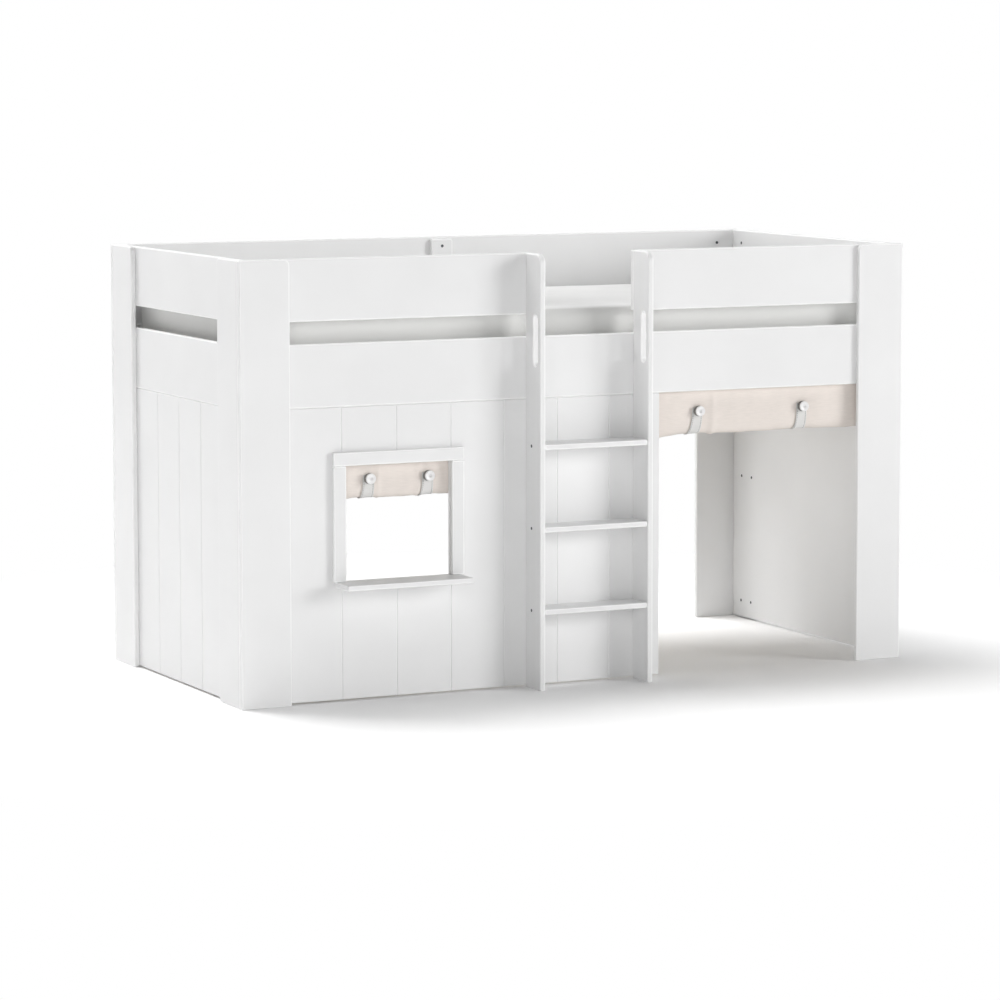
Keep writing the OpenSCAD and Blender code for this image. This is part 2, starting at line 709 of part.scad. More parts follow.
post_face(-1, -1);  // post_front_left_face
post_side(-1, -1);  // post_front_left_side
post_face(1, -1);  // post_front_right_face
post_side(1, -1);  // post_front_right_side
post_face(-1, 1);  // post_back_left_face
post_side(-1, 1);  // post_back_left_side
post_face(1, 1);  // post_back_right_face
post_side(1, 1);  // post_back_right_side
front_guard(-1);  // front_guard_left
front_guard(1);  // front_guard_right
front_rail();
front_panel();
back_guard();
back_rail();
back_strut();
end_guard(-1);  // end_guard_left
end_rail(-1);  // end_rail_left
end_panel(-1);  // end_panel_left
end_guard(1);  // end_guard_right
end_rail(1);  // end_rail_right
end_panel(1);  // end_panel_right
ladder_stile(-1);  // ladder_stile_left
ladder_stile(1);  // ladder_stile_right
tread(0);  // tread_low
tread(1);  // tread_middle
tread(tread_n - 1);  // tread_high
window_header();
window_jamb(-1);  // window_jamb_left
window_jamb(1);  // window_jamb_right
window_sill();
slat_batten(-1);  // slat_batten_front
slat_batten(1);  // slat_batten_back
slats();
slat_webbing();
mattress();
den_curtain();
den_curtain_tape();
den_curtain_straps();
den_curtain_buttons();
window_curtain();
window_curtain_tape();
window_curtain_straps();
window_curtain_buttons();
placed(zinc) screws(end_panel_list);  // end_panel_screws
placed(zinc) screws(end_board_list);  // end_board_screws
placed(zinc) screws(concat(side_panel_list, side_rail_list, side_guard_list));  // side_board_screws
placed(zinc) screws(concat(stile_guard_list, stile_rail_list, stile_panel_list));  // stile_screws
placed(zinc) screws(tread_screw_list);  // tread_screws
placed(zinc) screws(strut_list);  // strut_screws
placed(zinc) screws(batten_list);  // batten_screws
placed(zinc) screws(concat(window_frame_list, window_sill_list));  // window_screws
placed(zinc) screws(slat_list);  // slat_screws
placed(beech) dowels(post_dowel_list);  // post_dowels
placed(beech) dowels(tread_dowel_list);  // tread_dowels
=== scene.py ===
"""Dresses the cabin bed: lacquered boards with eased edges, pine slats, a soft mattress,
rolled cotton curtains with their straps and buttons, and a white studio round it."""

import functools
import itertools
import math

import bmesh
import bpy
from mathutils import Matrix, Vector, noise


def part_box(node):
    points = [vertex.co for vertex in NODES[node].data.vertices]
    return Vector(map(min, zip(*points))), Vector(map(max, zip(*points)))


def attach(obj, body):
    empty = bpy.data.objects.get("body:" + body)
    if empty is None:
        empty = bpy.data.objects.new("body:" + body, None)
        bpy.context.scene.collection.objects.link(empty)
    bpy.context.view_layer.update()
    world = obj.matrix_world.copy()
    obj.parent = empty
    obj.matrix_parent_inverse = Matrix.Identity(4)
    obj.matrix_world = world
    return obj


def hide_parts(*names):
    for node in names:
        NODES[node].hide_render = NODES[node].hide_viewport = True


bl_info = {
    "name": "Cabin Bed",
    "version": (1, 0, 0),
    "blender": (4, 5, 0),
    "location": "3D View > Sidebar > Cabin Bed",
    "description": "Builds the finishes and soft parts of a cabin bed with a playhouse front",
    "category": "Object",
}

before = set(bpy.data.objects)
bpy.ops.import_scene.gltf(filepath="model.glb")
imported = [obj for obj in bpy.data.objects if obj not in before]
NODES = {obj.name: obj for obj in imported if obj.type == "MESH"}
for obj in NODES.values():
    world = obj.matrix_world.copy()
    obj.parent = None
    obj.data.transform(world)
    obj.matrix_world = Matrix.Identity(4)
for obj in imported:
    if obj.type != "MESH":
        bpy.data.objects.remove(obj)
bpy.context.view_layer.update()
BEDSTEAD = "bedstead"
MM = 0.001
WHITE = (1.0, 1.0, 1.0, 1.0)
EASED = "eased"  # Face attribute that is 1 on the rounded edges
CLOTH_MAP = "cloth"  # UV map of the cloths, in metres
WAVE_BAND = 0.314  # Scaled coordinate that one band of a wave texture takes

FRAME_BOARDS = [
    *(f"post_{corner}_{board}" for corner in ("front_left", "front_right", "back_left", "back_right")
      for board in ("face", "side")),
    "front_guard_left", "front_guard_right", "front_rail", "back_guard", "back_rail", "back_strut",
    "end_guard_left", "end_rail_left", "end_guard_right", "end_rail_right",
]
PANELS = ["front_panel", "end_panel_left", "end_panel_right"]
LADDER = ["ladder_stile_left", "ladder_stile_right", "tread_low", "tread_middle", "tread_high"]
WINDOW_FRAME = ["window_header", "window_jamb_left", "window_jamb_right", "window_sill"]
PINE_BOARDS = ["slat_batten_front", "slat_batten_back", "slats"]
SCREWS = [name for name in NODES if name.endswith("_screws")]
DOWELS = [name for name in NODES if name.endswith("_dowels")]


# Settings that a user would change


class BoardSettings(bpy.types.PropertyGroup):
    """Lacquered and pine boards."""

    edge_radius: bpy.props.FloatProperty(
        name="Edge radius", description="Radius of the boards' eased edges",
        default=3.8 * MM, min=0.3 * MM, max=4 * MM, precision=4, unit="LENGTH")
    panel_radius: bpy.props.FloatProperty(
        name="Panel edge radius", description="Radius of the edges on the grooved panels",
        default=0.4 * MM, min=0.1 * MM, max=0.45 * MM, precision=5, unit="LENGTH")
    lacquer: bpy.props.StringProperty(
        name="Lacquer", description="Colour of the white lacquer", default="#f0f0f0")
    # Painted highlight: the lighter colour on the rounded edges stands in for the light they catch
    edge_highlight: bpy.props.StringProperty(
        name="Edge lacquer", description="Colour of the lacquer on the rounded edges",
        default="#fdfdfd")
    pine: bpy.props.StringProperty(
        name="Pine", description="Colour of the slats' pale wood", default="#f0e6d5")
    pine_dark: bpy.props.StringProperty(
        name="Pine grain", description="Colour of the slats' late wood", default="#dac29c")


class MattressSettings(bpy.types.PropertyGroup):
    """Mattress."""

    swell: bpy.props.FloatProperty(
        name="Swell", description="How far the cover may swell past its cut size",
        default=4 * MM, min=1 * MM, max=8 * MM, precision=4, unit="LENGTH")
    edge_radius: bpy.props.FloatProperty(
        name="Edge radius", description="Radius of the soft edges along top and bottom",
        default=15 * MM, min=8 * MM, max=45 * MM, precision=4, unit="LENGTH")
    corner_radius: bpy.props.FloatProperty(
        name="Corner radius", description="Radius of the corners in plan",
        default=42 * MM, min=10 * MM, max=90 * MM, precision=4, unit="LENGTH")
    seam_height: bpy.props.FloatProperty(
        name="Seam height", description="Height of the piped seam above the mattress's underside",
        default=44 * MM, min=20 * MM, max=120 * MM, precision=4, unit="LENGTH")
    seam_radius: bpy.props.FloatProperty(
        name="Seam radius", description="Radius of the piped seam round the sides",
        default=2.5 * MM, min=1 * MM, max=6 * MM, precision=4, unit="LENGTH")
    cover: bpy.props.StringProperty(
        name="Cover", description="Colour of the knitted cover", default="#eeeeed")
    # The sides' greyer colour is partly a border cloth and partly painted shade
    border_and_shade: bpy.props.StringProperty(
        name="Border", description="Colour of the mattress's sides", default="#dcdcda")


class CurtainSettings(bpy.types.PropertyGroup):
    """Rolled curtains, their straps and buttons."""

    cloth: bpy.props.StringProperty(
        name="Cotton", description="Colour of the unbleached cotton", default="#efe6df")
    tape: bpy.props.StringProperty(
        name="Tape", description="Colour of the grey cotton tape", default="#cfc9c2")
    strap: bpy.props.StringProperty(
        name="Strap", description="Colour of the straps round the rolls", default="#e3e2e0")
    # The loops' mid grey also paints the shade beside each button
    loop: bpy.props.StringProperty(
        name="Loop", description="Colour of the elastic loops behind the buttons", default="#908e8b")
    strap_width: bpy.props.FloatProperty(
        name="Strap width", description="Width of the straps round the rolls",
        default=38 * MM, min=20 * MM, max=50 * MM, precision=4, unit="LENGTH")
    button: bpy.props.StringProperty(
        name="Button", description="Colour of the turned buttons", default="#f4f3f3")
    layer: bpy.props.FloatProperty(
        name="Layer", description="Spacing of the turns in a roll",
        default=4.5 * MM, min=2 * MM, max=8 * MM, precision=4, unit="LENGTH")
    thickness: bpy.props.FloatProperty(
        name="Cloth thickness", description="Thickness of the cotton",
        default=1.0 * MM, min=0.4 * MM, max=2 * MM, precision=4, unit="LENGTH")
    hang: bpy.props.FloatProperty(
        name="Hang", description="Largest depth of the soft folds in the cloth",
        default=3.5 * MM, min=0, max=8 * MM, precision=4, unit="LENGTH")


class StageSettings(bpy.types.PropertyGroup):
    """Camera, lamps and floor."""

    camera_place: bpy.props.FloatVectorProperty(
        name="Camera", description="Place of the camera", size=3,
        default=(-5.0210, -10.2393, 1.8096), subtype="TRANSLATION", unit="LENGTH")
    camera_heading: bpy.props.FloatProperty(
        name="Heading", description="Turn of the camera to the right of straight on",
        default=0.4602, subtype="ANGLE", unit="ROTATION")
    camera_pitch: bpy.props.FloatProperty(
        name="Pitch", description="How far the camera looks down",
        default=0.1012, subtype="ANGLE", unit="ROTATION")
    camera_lens: bpy.props.FloatProperty(
        name="Lens", description="Focal length in millimetres on a 36 mm sensor",
        default=141.0, min=20, max=300)
    camera_shift: bpy.props.FloatVectorProperty(
        name="Shift", description="Sideways and upward shift of the lens", size=2,
        default=(-0.03, -0.06))
    key_power: bpy.props.FloatProperty(
        name="Key lamp", description="Power of the soft lamp at the front right",
        default=2680, unit="POWER")
    front_power: bpy.props.FloatProperty(
        name="Front lamp", description="Power of the low soft lamp by the camera",
        default=1740, unit="POWER")
    back_power: bpy.props.FloatProperty(
        name="Back lamp", description="Power of the high soft lamp at the back left",
        default=1240, unit="POWER")
    low_back_power: bpy.props.FloatProperty(
        name="Low back lamp", description="Power of the low soft lamp at the back left",
        default=680, unit="POWER")
    floor_power: bpy.props.FloatProperty(
        name="Floor lamp", description="Power of the lamp that lights only the floor",
        default=860, unit="POWER")
    sky: bpy.props.FloatProperty(
        name="Ambient light", description="Strength of the even light from all round",
        default=0.02, min=0, max=1.5)


def settings(name):
    """The scene's settings of that name."""
    return getattr(bpy.context.scene, name)


# Materials


def linear(hex_colour):
    """An sRGB hex colour as linear RGBA."""
    values = [int(hex_colour[i:i + 2], 16) / 255 for i in (1, 3, 5)]
    return (*[v / 12.92 if v <= 0.04045 else ((v + 0.055) / 1.055) ** 2.4 for v in values], 1.0)


def darker(hex_colour, share):
    """A hex colour with each channel lowered by a share."""
    return "#" + "".join(f"{round(int(hex_colour[i:i + 2], 16) * (1 - share)):02x}" for i in (1, 3, 5))


def add_node(tree, kind, inputs=None, stops=(), **options):
    """Adds a node with its options, the stops of its colour ramp, and its inputs.

    An input is a value, a socket to link from, or a node, which stands for its first output.
    """
    node = tree.nodes.new("ShaderNode" + kind)
    for name, value in options.items():
        setattr(node, name, value)
    for i, (position, hex_colour) in enumerate(stops):
        node.color_ramp.elements[i].position = position
        node.color_ramp.elements[i].color = linear(hex_colour)
    for name, value in (inputs or {}).items():
        if isinstance(value, bpy.types.Node):
            value = value.outputs[0]
        if isinstance(value, bpy.types.NodeSocket):
            tree.links.new(value, node.inputs[name])
        else:
            node.inputs[name].default_value = value
    return node


def made_once(build):
    """Turns a function that builds a surface into one that returns its material, made on first use."""
    @functools.wraps(build)
    def find_or_make():
        name = build.__name__
        if name not in bpy.data.materials:
            material = bpy.data.materials.new(name)
            material.use_nodes = True
            tree = material.node_tree
            tree.nodes.clear()
            add_node(tree, "OutputMaterial", {"Surface": build(tree)})
        return bpy.data.materials[name]
    return find_or_make


@made_once
def white_satin_lacquer(tree):
    """Sprayed satin lacquer on board: even white with a lighter painted highlight on the rounded edges, a
    faint orange peel and soft reflections.
    """
    place = add_node(tree, "TexCoord").outputs["Object"]
    look = settings("bed_boards")
    # Slow change of tone over about 200 mm, as a sprayed coat has
    cloud = add_node(tree, "TexNoise", {"Vector": place, "Scale": 5.0, "Detail": 2.0})
    flat = add_node(tree, "ValToRGB", {"Fac": cloud},
                    stops=[(0.3, darker(look.lacquer, 0.012)), (0.7, look.lacquer)])
    # Painted highlight: the rounded edges get a lighter colour than the flat faces, standing in for the
    # light they catch
    eased = add_node(tree, "Attribute", attribute_name=EASED)
    coat = add_node(tree, "Mix", {0: eased.outputs["Fac"], 6: flat, 7: linear(look.edge_highlight)},
                    data_type="RGBA")
    # Orange peel: ripples about 3 mm apart and a hundredth of a millimetre deep
    peel = add_node(tree, "TexNoise", {"Vector": place, "Scale": 1 / (3 * MM), "Detail": 1.0})
    bump = add_node(tree, "Bump", {"Height": peel, "Distance": 0.02 * MM, "Strength": 0.6})
    return add_node(tree, "BsdfPrincipled", {
        "Base Color": coat.outputs[2], "Normal": bump, "Roughness": 0.36, "IOR": 1.5})


def weave(tree, place, spacing):
    """A plain weave's height: threads that cross at the given spacing, in metres."""
    inputs = {"Vector": place, "Scale": WAVE_BAND / spacing, "Distortion": 0.6, "Detail": 1.0}
    warp = add_node(tree, "TexWave", inputs, bands_direction="X").outputs["Fac"]
    weft = add_node(tree, "TexWave", inputs, bands_direction="Y").outputs["Fac"]
    return add_node(tree, "Math", {0: warp, 1: weft}, operation="MAXIMUM")


def stitch_lines(tree, place, base, colour, middle):
    """Draws a row of stitches along each edge, at a distance from the cloth's middle line."""
    parts = add_node(tree, "SeparateXYZ", {0: place})
    out = add_node(tree, "Math", {0: parts}, operation="ABSOLUTE")
    line = add_node(tree, "Math", {0: out, 1: middle, 2: 0.8 * MM}, operation="COMPARE")
    # Stitches 3 mm long with 1.2 mm between them
    turns = add_node(tree, "Math", {0: parts.outputs[1], 1: 1 / (4.2 * MM)}, operation="MULTIPLY")
    step = add_node(tree, "Math", {0: turns}, operation="FRACT")
    dash = add_node(tree, "Math", {0: step, 1: 0.72}, operation="LESS_THAN")
    both = add_node(tree, "Math", {0: line, 1: dash}, operation="MULTIPLY")
    return add_node(tree, "Mix", {0: both, 6: base, 7: linear(colour)}, data_type="RGBA").outputs[2]


def woven_cotton(tree, colour, shade, spacing, slub, roughness=0.85, stitch=None):
    """Woven cotton on the cloth's own UV map, in metres: threads, slubs and uneven tone."""
    place = add_node(tree, "UVMap", uv_map=CLOTH_MAP).outputs["UV"]
    threads = weave(tree, place, spacing)
    # Slubs: thicker yarns that run a few centimetres along the cloth
    stretch = add_node(tree, "Mapping", {"Vector": place, "Scale": (1.0, 9.0, 1.0)})
    yarn = add_node(tree, "TexNoise", {"Vector": stretch, "Scale": 38.0, "Detail": 4.0, "Roughness": 0.65})
    cloud = add_node(tree, "TexNoise", {"Vector": place, "Scale": 9.0, "Detail": 3.0})
    tone = add_node(tree, "Mix", {0: slub, 2: cloud, 3: yarn}, data_type="FLOAT")
    base = add_node(tree, "ValToRGB", {"Fac": tone},
                    stops=[(0.32, darker(colour, shade)), (0.62, colour)]).outputs["Color"]
    if stitch:
        base = stitch_lines(tree, place, base, *stitch)
    height = add_node(tree, "Math", {0: threads, 1: yarn}, operation="ADD")
    bump = add_node(tree, "Bump", {"Height": height, "Distance": 0.25 * MM, "Strength": 0.55})
    return add_node(tree, "BsdfPrincipled", {
        "Base Color": base, "Normal": bump, "Roughness": roughness, "Specular IOR Level": 0.25,
        "Sheen Weight": 0.25, "Sheen Roughness": 0.5})


@made_once
def unbleached_cotton(tree):
    """Plain-woven natural cotton: warm pale beige with a rosy cast and small slubs."""
    # Threads are 0.5 mm apart, drawn at 1.4 mm so that the weave shows
    return woven_cotton(tree, settings("bed_curtains").cloth, 0.045, 1.4 * MM, slub=0.5)


@made_once
def grey_cotton_tape(tree):
    """Woven cotton tape: flat, pale grey, with firm cross ribs."""
    return woven_cotton(tree, settings("bed_curtains").tape, 0.08, 1.8 * MM, slub=0.3, roughness=0.75)


@made_once
def strap_cotton(tree):
    """Firm white-grey cotton strap, stitched in grey along both edges."""
    look = settings("bed_curtains")
    stitch = (darker(look.strap, 0.34), look.strap_width / 2 - 4 * MM)
    return woven_cotton(tree, look.strap, 0.05, 1.6 * MM, slub=0.3, roughness=0.8, stitch=stitch)


@made_once
def grey_elastic_and_shade(tree):
    """Braided elastic cord: mid grey with fine ribs across it, the grey also painting the shade beside
    each button.
    """
    return woven_cotton(tree, settings("bed_curtains").loop, 0.2, 1.0 * MM, slub=0.6, roughness=0.7)


@made_once
def knitted_cover(tree):
    """Fine knitted polyester: matt white with a small waffle and a soft bloom at grazing angles."""
    coordinates = add_node(tree, "TexCoord")
    place = coordinates.outputs["Object"]
    look = settings("bed_mattress")
    cloud = add_node(tree, "TexNoise", {"Vector": place, "Scale": 6.0, "Detail": 3.0})
    panel = add_node(tree, "ValToRGB", {"Fac": cloud},
                     stops=[(0.3, darker(look.cover, 0.02)), (0.7, look.cover)])
    # The sides are greyer than the top and the bottom: partly a greyer border cloth, partly painted shade
    # for sides that lie back in the guards' shadow
    way = add_node(tree, "SeparateXYZ", {0: coordinates.outputs["Normal"]})
    flat = add_node(tree, "Math", {0: way.outputs[2]}, operation="ABSOLUTE")
    border_shade_mask = add_node(tree, "MapRange", {"Value": flat, "From Min": 0.55, "From Max": 0.75})
    cloth = add_node(tree, "Mix", {0: border_shade_mask, 6: linear(look.border_and_shade), 7: panel}, data_type="RGBA")
    # The knit's loops are about 1.5 mm apart, drawn at 4 mm so that they show
    loops = add_node(tree, "TexVoronoi", {"Vector": place, "Scale": 1 / (4 * MM)}, feature="SMOOTH_F1")
    # Soft dents where the foam gives, a hand's width apart
    dents = add_node(tree, "TexNoise", {"Vector": place, "Scale": 11.0, "Detail": 2.0})
    relief = add_node(tree, "Math", {0: dents, 1: 9.0, 2: loops}, operation="MULTIPLY_ADD")
    bump = add_node(tree, "Bump", {"Height": relief, "Distance": 0.35 * MM, "Strength": 0.7})
    return add_node(tree, "BsdfPrincipled", {
        "Base Color": cloth.outputs[2], "Normal": bump, "Roughness": 0.8,
        "Specular IOR Level": 0.2, "Sheen Weight": 0.3})


@made_once
def planed_pine(tree):
    """Planed, untreated pine: straight grain along the board with darker late wood and a few knots."""
    look = settings("bed_boards")
    place = add_node(tree, "TexCoord").outputs["Object"]
    # Growth rings lie about 4 mm apart across the board and run for most of a metre along it
    grain = add_node(tree, "Mapping", {"Vector": place, "Scale": (1.0, 0.06, 1.0)})
    rings = add_node(tree, "TexNoise", {
        "Vector": grain, "Scale": 1 / (9 * MM), "Detail": 5.0, "Distortion": 0.8})
    knots = add_node(tree, "TexVoronoi", {"Vector": place, "Scale": 3.1}, feature="F1")
    spots = add_node(tree, "MapRange", {
        "Value": knots, "From Min": 0.02, "From Max": 0.07, "To Min": 0.45, "To Max": 0.0})
    tone = add_node(tree, "Math", {0: rings, 1: spots}, operation="SUBTRACT")
    wood = add_node(tree, "ValToRGB", {"Fac": tone}, stops=[(0.25, look.pine_dark), (0.6, look.pine)])
    bump = add_node(tree, "Bump", {"Height": rings, "Distance": 0.15 * MM, "Strength": 0.5})
    return add_node(tree, "BsdfPrincipled", {"Base Color": wood, "Normal": bump, "Roughness": 0.62})


@made_once
def turned_beech(tree):
    """Turned beech: fine short flecks along the dowel, pale brown."""
    place = add_node(tree, "TexCoord").outputs["Object"]
    flecks = add_node(tree, "TexNoise", {"Vector": place, "Scale": 900.0, "Detail": 2.0})
    wood = add_node(tree, "ValToRGB", {"Fac": flecks}, stops=[(0.3, "#b98f5e"), (0.7, "#cfa878")])
    return add_node(tree, "BsdfPrincipled", {"Base Color": wood, "Roughness": 0.6})


@made_once
def zinc_plated_steel(tree):
    """Zinc-plated steel, coloured dark grey as painted shade for the recesses round the heads, and a
    little uneven where it was tumbled.
    """
    place = add_node(tree, "TexCoord").outputs["Object"]
    worn = add_node(tree, "TexNoise", {"Vector": place, "Scale": 700.0, "Detail": 3.0})
    # Painted shade: the heads are coloured dark to stand for the shade of their recesses
    plating_painted_shade = add_node(tree, "ValToRGB", {"Fac": worn}, stops=[(0.3, "#4c4e51"), (0.7, "#6b6d70")])
    spread = add_node(tree, "MapRange", {"Value": worn, "To Min": 0.28, "To Max": 0.5})
    return add_node(tree, "BsdfPrincipled", {"Base Color": plating_painted_shade, "Metallic": 1.0, "Roughness": spread})


@made_once
def turned_white_plastic(tree):
    """Turned white acetal: smooth with faint tool rings and a soft shine."""
    place = add_node(tree, "TexCoord").outputs["Object"]
    colour = settings("bed_curtains").button
    cloud = add_node(tree, "TexNoise", {"Vector": place, "Scale": 160.0, "Detail": 2.0})
    tint = add_node(tree, "ValToRGB", {"Fac": cloud}, stops=[(0.3, darker(colour, 0.03)), (0.7, colour)])
    bump = add_node(tree, "Bump", {"Height": cloud, "Distance": 0.03 * MM, "Strength": 0.4})
    return add_node(tree, "BsdfPrincipled", {"Base Color": tint, "Normal": bump, "Roughness": 0.3})


@made_once
def white_paper(tree):
    """Seamless white paper that keeps the bed's soft shadow and turns plain white further out."""
    shader = add_node(tree, "BsdfPrincipled", {"Base Color": linear("#f0f0f0"), "Roughness": 0.9})
    path = add_node(tree, "LightPath")
    place = add_node(tree, "TexCoord").outputs["Object"]
    away = add_node(tree, "VectorMath", {0: place}, operation="LENGTH")
    fade = add_node(tree, "MapRange", {"Value": away.outputs["Value"], "From Min": 0.9, "From Max": 2.5},
                    interpolation_type="SMOOTHSTEP")
    paper = add_node(tree, "BsdfDiffuse", {"Color": WHITE})
    white = add_node(tree, "Emission", {"Color": WHITE, "Strength": 1.0})
    seen = add_node(tree, "MixShader", {0: fade, 1: paper, 2: white})
    return add_node(tree, "MixShader", {0: path.outputs["Is Camera Ray"], 1: shader, 2: seen})


# Mesh helpers


def add_object(name, data):
    """Adds an object to the scene."""
    added = bpy.data.objects.new(name, data)
    bpy.context.scene.collection.objects.link(added)
    return added


def add_mesh(name, bm, material):
    """Turns a bmesh into an object."""
    mesh = bpy.data.meshes.new(name)
    bm.to_mesh(mesh)
    bm.free()
    mesh.materials.append(material)
    return add_object(name, mesh)


def finish_piece(name, bm, material, replaced, body=BEDSTEAD, sharp=38):
    """Turns a bmesh into a piece that rides on its body and stands for a CAD node."""
    for face in bm.faces:
        face.smooth = True
    limit = math.radians(sharp)
    for edge in bm.edges:
        if len(edge.link_faces) == 2 and edge.calc_face_angle(0.0) > limit:
            edge.smooth = False
    piece = add_mesh(name, bm, material)
    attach(piece, body)
    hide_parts(replaced)
    return piece


def outline_edges(bm, turn, bore=14 * MM):
    """A board's edges that turn by more than an angle, without the rims of its small bores."""
    sharp = {e for e in bm.edges if len(e.link_faces) == 2 and e.calc_face_angle(0.0) > math.radians(turn)}
    kept = []
    while sharp:
        group, waiting = set(), [sharp.pop()]
        while waiting:
            edge = waiting.pop()
            group.add(edge)
            for near in {n for vertex in edge.verts for n in vertex.link_edges} & sharp:
                sharp.discard(near)
                waiting.append(near)
        places = [v.co for e in group for v in e.verts]
        if max(max(p[i] for p in places) - min(p[i] for p in places) for i in range(3)) > bore:
            kept += group
    return kept


def round_over(bm, edges, radius, segments):
    """Rounds edges over, and returns the new faces."""
    return bmesh.ops.bevel(bm, geom=edges, offset=radius, offset_type="OFFSET", segments=segments,
                           profile=0.5, affect="EDGES", clamp_overlap=False, material=-1)["faces"]


def ease_boards(nodes, radius, material, turn=28):
    """Boards with their CAD outlines, bores and cuts, and with their outer edges rounded over."""
    for node in nodes:
        bm = bmesh.new()
        bm.from_mesh(NODES[node].data)
        bmesh.ops.remove_doubles(bm, verts=bm.verts, dist=0.02 * MM)
        bmesh.ops.dissolve_limit(bm, angle_limit=math.radians(0.6), verts=bm.verts, edges=bm.edges)
        # Marks the rounded faces, which the lacquer paints lighter as a highlight
        layer = bm.faces.layers.float.new(EASED)
        for face in round_over(bm, outline_edges(bm, turn), radius, 3):
            face[layer] = 1.0
        piece = finish_piece(node + "_board", bm, material, node)
        # Large faces stay flat between their rounded edges
        modifier = piece.modifiers.new("flat_faces", "WEIGHTED_NORMAL")
        modifier.keep_sharp = True
        modifier.weight = 100


def lacquer_boards(nodes):
    """Lacquered boards with the usual eased edges."""
    ease_boards(nodes, settings("bed_boards").edge_radius, white_satin_lacquer())


def add_box(bm, low, high):
    """Adds a box between two corners."""
    shape = Matrix.Translation((low + high) / 2) @ Matrix.Diagonal((*(high - low), 1.0))
    bmesh.ops.create_cube(bm, size=1.0, matrix=shape)


def add_uv(bm, place):
    """Adds the cloth's UV map from a function that gives a vertex its place on it."""
    layer = bm.loops.layers.uv.new(CLOTH_MAP)
    for face in bm.faces:
        for loop in face.loops:
            loop[layer].uv = place(loop.vert)


def tape_bands(name, boxes, radius, axes, node):
    """Flat tapes with soft edges and their UV map on two of the three axes."""
    bm = bmesh.new()
    for low, high in boxes:
        add_box(bm, low, high)
    round_over(bm, bm.edges[:], radius, 2)
    add_uv(bm, lambda vertex: [vertex.co[axis] for axis in axes])
    finish_piece(name, bm, grey_cotton_tape(), node)


def cloth_sheet(lengths, widths, place):
    """A sheet from a function that gives its point at a length along and a distance across."""
    rows, columns = len(lengths), len(widths)
    bm = bmesh.new()
    made = bmesh.ops.create_grid(bm, x_segments=columns - 1, y_segments=rows - 1, size=1.0)
    in_rows = sorted(made["verts"], key=lambda v: (round(v.co.y, 6), round(v.co.x, 6)))
    spots = dict(zip(in_rows, itertools.product(lengths, widths)))
    for vertex, (length, across) in spots.items():
        vertex.co = place(length, across)
    add_uv(bm, lambda vertex: spots[vertex][::-1])
    return bm


def add_thickness(piece, thickness):
    """Gives a sheet its thickness, half to each side."""
    modifier = piece.modifiers.new("thickness", "SOLIDIFY")
    modifier.thickness = thickness
    modifier.offset = 0.0
    modifier.use_even_offset = True


def apply_modifiers(piece):
    """Bakes a piece's modifiers into its mesh."""
    depsgraph = bpy.context.evaluated_depsgraph_get()
    mesh = bpy.data.meshes.new_from_object(piece.evaluated_get(depsgraph))
    piece.modifiers.clear()
    piece.data = mesh


def turned(profiles, sides):
    """Closed turned shapes from profiles of (radius, height) points, standing on +Z."""
    bm = bmesh.new()
    for profile in profiles:
        verts = [bm.verts.new((r, 0, z)) for r, z in profile]
        edges = [bm.edges.new(pair) for pair in zip(verts, verts[1:])]
        bmesh.ops.spin(bm, geom=verts + edges, cent=(0, 0, 0), axis=(0, 0, 1), angle=math.tau,
                       steps=sides, use_merge=True, use_duplicate=False)
    bmesh.ops.remove_doubles(bm, verts=bm.verts, dist=0.01 * MM)
    bmesh.ops.recalc_face_normals(bm, faces=bm.faces)
    return bm


def face_front(bm, place):
    """Turns a shape that stands on +Z to face the front, with its foot at a place."""
    turn = Matrix.Translation(place) @ Matrix.Rotation(math.radians(90), 4, "X")
    bmesh.ops.transform(bm, matrix=turn, verts=bm.verts)


# Boards


class BED_OT_frame_boards(bpy.types.Operator):
    """Posts, guards, rails and the strut as lacquered boards with eased edges"""

    bl_idname = "bed.frame_boards"
    bl_label = "Frame Boards"

    def execute(self, context):
        lacquer_boards(FRAME_BOARDS)
        return {"FINISHED"}


class BED_OT_panels(bpy.types.Operator):
    """Grooved front and end panels"""

    bl_idname = "bed.panels"
    bl_label = "Grooved Panels"

    def execute(self, context):
        # The grooves' shallow lips turn by 44 degrees and stay crisp
        ease_boards(PANELS, settings("bed_boards").panel_radius, white_satin_lacquer(),
                    turn=60)
        return {"FINISHED"}


class BED_OT_ladder(bpy.types.Operator):
    """Ladder stiles with their hand slots, and the treads"""

    bl_idname = "bed.ladder"
    bl_label = "Ladder"

    def execute(self, context):
        lacquer_boards(LADDER)
        return {"FINISHED"}


class BED_OT_window_frame(bpy.types.Operator):
    """Window header, jambs and sill"""

    bl_idname = "bed.window_frame"
    bl_label = "Window Frame"

    def execute(self, context):
        lacquer_boards(WINDOW_FRAME)
        return {"FINISHED"}


class BED_OT_slatted_base(bpy.types.Operator):
    """Pine battens and slats, and the webbing that spaces them"""

    bl_idname = "bed.slatted_base"
    bl_label = "Slatted Base"

    def execute(self, context):
        ease_boards(PINE_BOARDS, settings("bed_boards").edge_radius, planed_pine())
        low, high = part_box("slat_webbing")
        band = 25 * MM
        front_band = (low, Vector((high.x, low.y + band, high.z)))
        back_band = (Vector((low.x, high.y - band, low.z)), high)
        tape_bands("slat_webbing_bands", [front_band, back_band], 0.4 * MM, (1, 0), "slat_webbing")
        return {"FINISHED"}


# Mattress


def mattress_block(low, high, corner, edge):
    """A box with rounded corners in plan and soft edges along its top and bottom."""
    bm = bmesh.new()
    add_box(bm, low, high)
    upright = [e for e in bm.edges if abs(e.verts[0].co.z - e.verts[1].co.z) > (high - low).z / 2]
    round_over(bm, upright, corner, 8)
    level = [e for e in bm.edges
             if abs(e.verts[0].co.z - e.verts[1].co.z) < 1e-6 and e.calc_face_angle(0.0) > 1.0]
    round_over(bm, level, edge, 5)
    return bm


